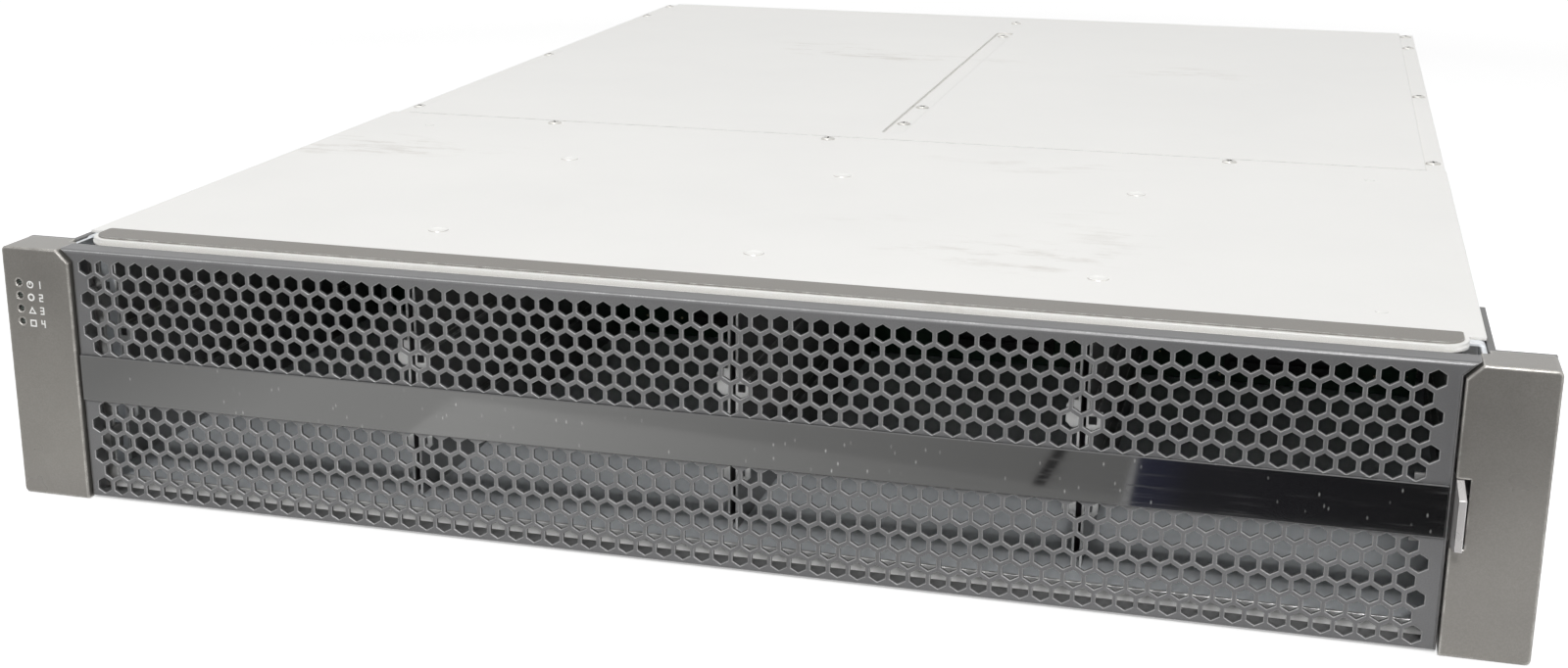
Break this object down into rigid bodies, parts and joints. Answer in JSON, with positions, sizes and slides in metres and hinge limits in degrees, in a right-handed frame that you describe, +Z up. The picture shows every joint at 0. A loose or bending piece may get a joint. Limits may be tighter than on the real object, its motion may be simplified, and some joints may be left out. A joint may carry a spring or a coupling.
{
  "type": "disk shelf enclosure",
  "caption": "Two-unit rack enclosure with empty drive bays behind a perforated bezel, and slide-out power and interface modules at the rear.",
  "frame": {"origin": "middle of the whole, on the plane it stands on", "axes": "+X to the right seen from the front, +Y from the front to the rear, +Z up"},
  "size_m": [0.4826, 0.678, 0.0883],
  "materials": {
    "tray_sheet": "zinc-plated sheet, satin",
    "cover_sheet": "zinc-plated sheet, bright satin",
    "trim_grey": "matt grey film",
    "frame_sheet": "bright satin",
    "screw_steel": "bright",
    "guide_sheet": "satin",
    "ear_grey": "satin warm grey",
    "bracket_steel": "satin",
    "bezel_grey": "satin grey",
    "band_gloss": "high gloss, lightly scratched",
    "latch_bright": "bright, brushed",
    "spring_steel": "bright",
    "lens_clear": "clear dark lens",
    "board_green": "solder mask",
    "connector_black": "moulded",
    "module_sheet": "satin",
    "face_sheet": "satin",
    "handle_black": "fine grain",
    "fan_black": "moulded",
    "switch_black": "gloss",
    "lever_grey": "moulded",
    "port_metal": "bright"
  },
  "bodies": {
    "chassis": {"chassis_tray": "tray_sheet", "top_cover": "cover_sheet", "rear_top_panel": "cover_sheet", "cover_trim_strip": "trim_grey", "cover_screws": "screw_steel", "front_frame": "frame_sheet", "side_guides": "guide_sheet", "bay_divider_left": "guide_sheet", "bay_divider_centre": "guide_sheet", "bay_divider_right": "guide_sheet", "midplane_board": "board_green", "drive_connectors": "connector_black", "module_connectors": "connector_black", "midplane_frame": "guide_sheet", "centre_wall": "guide_sheet", "module_shelves": "guide_sheet", "ear_cover_left": "ear_grey", "ear_cover_right": "ear_grey", "ear_bracket_left": "bracket_steel", "ear_bracket_right": "bracket_steel", "indicator_lenses": "lens_clear", "indicator_board": "board_green", "latch_bracket": "bracket_steel", "latch_spring": "spring_steel"},
    "bezel": {"bezel_panel": "bezel_grey", "bezel_band": "band_gloss", "bezel_hooks": "bracket_steel", "bezel_catch_plate": "bracket_steel"},
    "latch": {"latch_lever": "latch_bright"},
    "psu_left": {"psu_left_case": "module_sheet", "psu_left_board": "board_green", "psu_left_face": "face_sheet", "psu_left_handle": "handle_black", "psu_left_fan_frame": "fan_black", "psu_left_inlet": "connector_black"},
    "psu_left_rotor": {"psu_left_fan": "fan_black"},
    "psu_left_rocker": {"psu_left_switch": "switch_black"},
    "psu_left_release": {"psu_left_latch": "lever_grey"},
    "io_left": {"io_left_case": "module_sheet", "io_left_board": "board_green", "io_left_face": "face_sheet", "io_left_ports": "port_metal"},
    "io_left_ejector": {"io_left_lever": "lever_grey"},
    "psu_right": {"psu_right_case": "module_sheet", "psu_right_board": "board_green", "psu_right_face": "face_sheet", "psu_right_handle": "handle_black", "psu_right_fan_frame": "fan_black", "psu_right_inlet": "connector_black"},
    "psu_right_rotor": {"psu_right_fan": "fan_black"},
    "psu_right_rocker": {"psu_right_switch": "switch_black"},
    "psu_right_release": {"psu_right_latch": "lever_grey"},
    "io_right": {"io_right_case": "module_sheet", "io_right_board": "board_green", "io_right_face": "face_sheet", "io_right_ports": "port_metal"},
    "io_right_ejector": {"io_right_lever": "lever_grey"}
  },
  "joints": [
    {"name": "bezel_swing", "type": "hinge", "parent": "chassis", "child": "bezel", "pos_m": [-0.2162, -0.3328, 0.04375], "axis": [0, 0, -1], "range_deg": [0, 35]},
    {"name": "latch_pivot", "type": "hinge", "parent": "chassis", "child": "latch", "pos_m": [0.2208, -0.3236, 0.0431], "axis": [0, 0, 1], "range_deg": [0, 8], "stiffness_Nm_per_rad": 0.5, "deforming": ["latch_spring"]},
    {"name": "psu_left_slide", "type": "slide", "parent": "chassis", "child": "psu_left", "axis": [0, 1, 0], "range_m": [0, 0.36]},
    {"name": "psu_left_fan_spin", "type": "hinge", "parent": "psu_left", "child": "psu_left_rotor", "pos_m": [-0.1923, 0.3035, 0.06388], "axis": [0, 1, 0], "continuous": true},
    {"name": "psu_left_switch_rock", "type": "hinge", "parent": "psu_left", "child": "psu_left_rocker", "pos_m": [-0.0643, 0.312, 0.06388], "axis": [-1, 0, 0], "range_deg": [0, 12]},
    {"name": "psu_left_latch_turn", "type": "hinge", "parent": "psu_left", "child": "psu_left_release", "pos_m": [-0.0133, 0.3184, 0.07387], "axis": [1, 0, 0], "range_deg": [0, 40], "stiffness_Nm_per_rad": 0.05},
    {"name": "io_left_slide", "type": "slide", "parent": "chassis", "child": "io_left", "axis": [0, 1, 0], "range_m": [0, 0.36]},
    {"name": "io_left_ejector_turn", "type": "hinge", "parent": "io_left", "child": "io_left_ejector", "pos_m": [-0.0133, 0.3184, 0.02162], "axis": [0, 0, -1], "range_deg": [0, 60]},
    {"name": "psu_right_slide", "type": "slide", "parent": "chassis", "child": "psu_right", "axis": [0, 1, 0], "range_m": [0, 0.36]},
    {"name": "psu_right_fan_spin", "type": "hinge", "parent": "psu_right", "child": "psu_right_rotor", "pos_m": [0.0302, 0.3035, 0.06388], "axis": [0, 1, 0], "continuous": true},
    {"name": "psu_right_switch_rock", "type": "hinge", "parent": "psu_right", "child": "psu_right_rocker", "pos_m": [0.1582, 0.312, 0.06388], "axis": [-1, 0, 0], "range_deg": [0, 12]},
    {"name": "psu_right_latch_turn", "type": "hinge", "parent": "psu_right", "child": "psu_right_release", "pos_m": [0.2092, 0.3184, 0.07387], "axis": [1, 0, 0], "range_deg": [0, 40], "stiffness_Nm_per_rad": 0.05},
    {"name": "io_right_slide", "type": "slide", "parent": "chassis", "child": "io_right", "axis": [0, 1, 0], "range_m": [0, 0.36]},
    {"name": "io_right_ejector_turn", "type": "hinge", "parent": "io_right", "child": "io_right_ejector", "pos_m": [0.2092, 0.3184, 0.02162], "axis": [0, 0, -1], "range_deg": [0, 60]}
  ]
}
